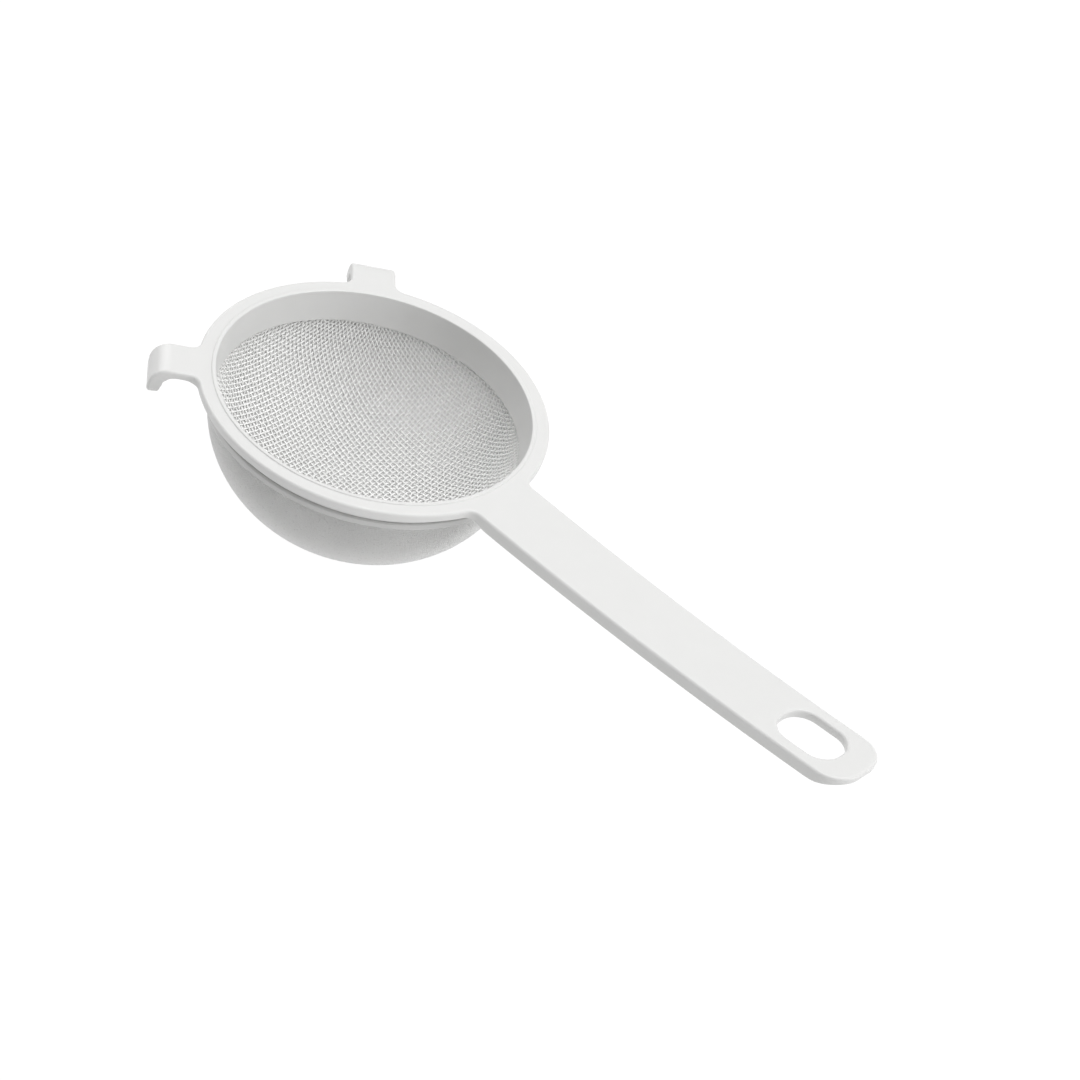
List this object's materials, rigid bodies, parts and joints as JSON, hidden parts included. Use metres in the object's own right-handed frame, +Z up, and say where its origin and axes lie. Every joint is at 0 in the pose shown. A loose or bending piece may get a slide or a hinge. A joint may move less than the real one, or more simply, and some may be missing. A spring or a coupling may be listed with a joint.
{
  "type": "double sieve strainer",
  "caption": "Hand strainer with a moulded rim, an upswept handle with a hanging hole, two rest hooks, and a coarse and a fine gauze bowl, one inside the other.",
  "frame": {"origin": "centre of the mouth, level with the top of the bead round it", "axes": "+Z up, out of the mouth; +X along the handle, away from the bowl; Y across, the object being mirrored about the XZ plane"},
  "size_m": [0.2803, 0.1226, 0.0641],
  "materials": {
    "moulded_plastic": "satin injection-moulded polypropylene",
    "hoop_plastic": "satin injection-moulded polypropylene",
    "coarse_gauze": "plain-woven white nylon monofilament, open weave",
    "fine_gauze": "plain-woven white nylon monofilament, close weave"
  },
  "bodies": {
    "root": {"rim_collar": "moulded_plastic", "handle": "moulded_plastic", "rest_hook_left": "moulded_plastic", "rest_hook_right": "moulded_plastic", "coarse_gauze": "coarse_gauze", "fine_gauze": "fine_gauze", "gauze_hoop": "hoop_plastic"}
  },
  "joints": []
}
